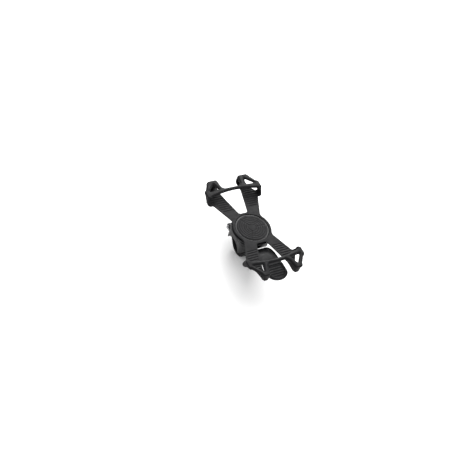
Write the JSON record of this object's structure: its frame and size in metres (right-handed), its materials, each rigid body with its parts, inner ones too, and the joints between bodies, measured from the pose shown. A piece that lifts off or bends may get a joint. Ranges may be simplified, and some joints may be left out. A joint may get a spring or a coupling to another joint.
{
  "type": "phone handlebar mount",
  "caption": "Soft silicone harness that holds a phone on a turning quick-release base, tied to a handlebar by a silicone strap.",
  "frame": {"origin": "on the handlebar's axis, under the axis that the cradle turns on", "axes": "+X along the handlebar, +Y towards the top of the phone, +Z out of the phone's face"},
  "size_m": [0.0724, 0.1448, 0.0519],
  "materials": {
    "silicone": "matte",
    "nylon": "fine texture",
    "button": "satin",
    "pad_rubber": "matte",
    "acetal": "satin",
    "steel": "satin",
    "black_steel": "black oxide"
  },
  "bodies": {
    "handlebar_base": {"base_lower": "nylon", "base_upper": "nylon", "saddle_pad": "pad_rubber", "glide_ring": "acetal", "housing_screw_1": "black_steel", "housing_screw_2": "black_steel", "housing_screw_3": "black_steel", "housing_screw_4": "black_steel", "anchor_pin": "steel", "pin_clip": "steel", "mounting_strap": "silicone", "latch_spring_1": "steel", "latch_spring_2": "steel"},
    "cradle": {"silicone_harness": "silicone", "grip_pad": "silicone", "phone_plate": "nylon", "rear_cover": "nylon", "swivel_hub": "acetal", "cradle_screw_1": "steel", "cradle_screw_2": "steel", "cradle_screw_3": "steel", "cradle_screw_4": "steel"},
    "release_latch": {"latch_plate": "steel", "release_button": "button"}
  },
  "joints": [
    {"name": "cradle_turn", "type": "hinge", "parent": "handlebar_base", "child": "cradle", "pos_m": [0, 0, 0.0214], "axis": [0, 0, 1], "continuous": true},
    {"name": "button_press", "type": "slide", "parent": "handlebar_base", "child": "release_latch", "axis": [-1, 0, 0], "range_m": [0, 0.003], "stiffness_N_per_m": 500, "springref_m": -0.003, "deforming": ["latch_spring_1", "latch_spring_2"]}
  ]
}
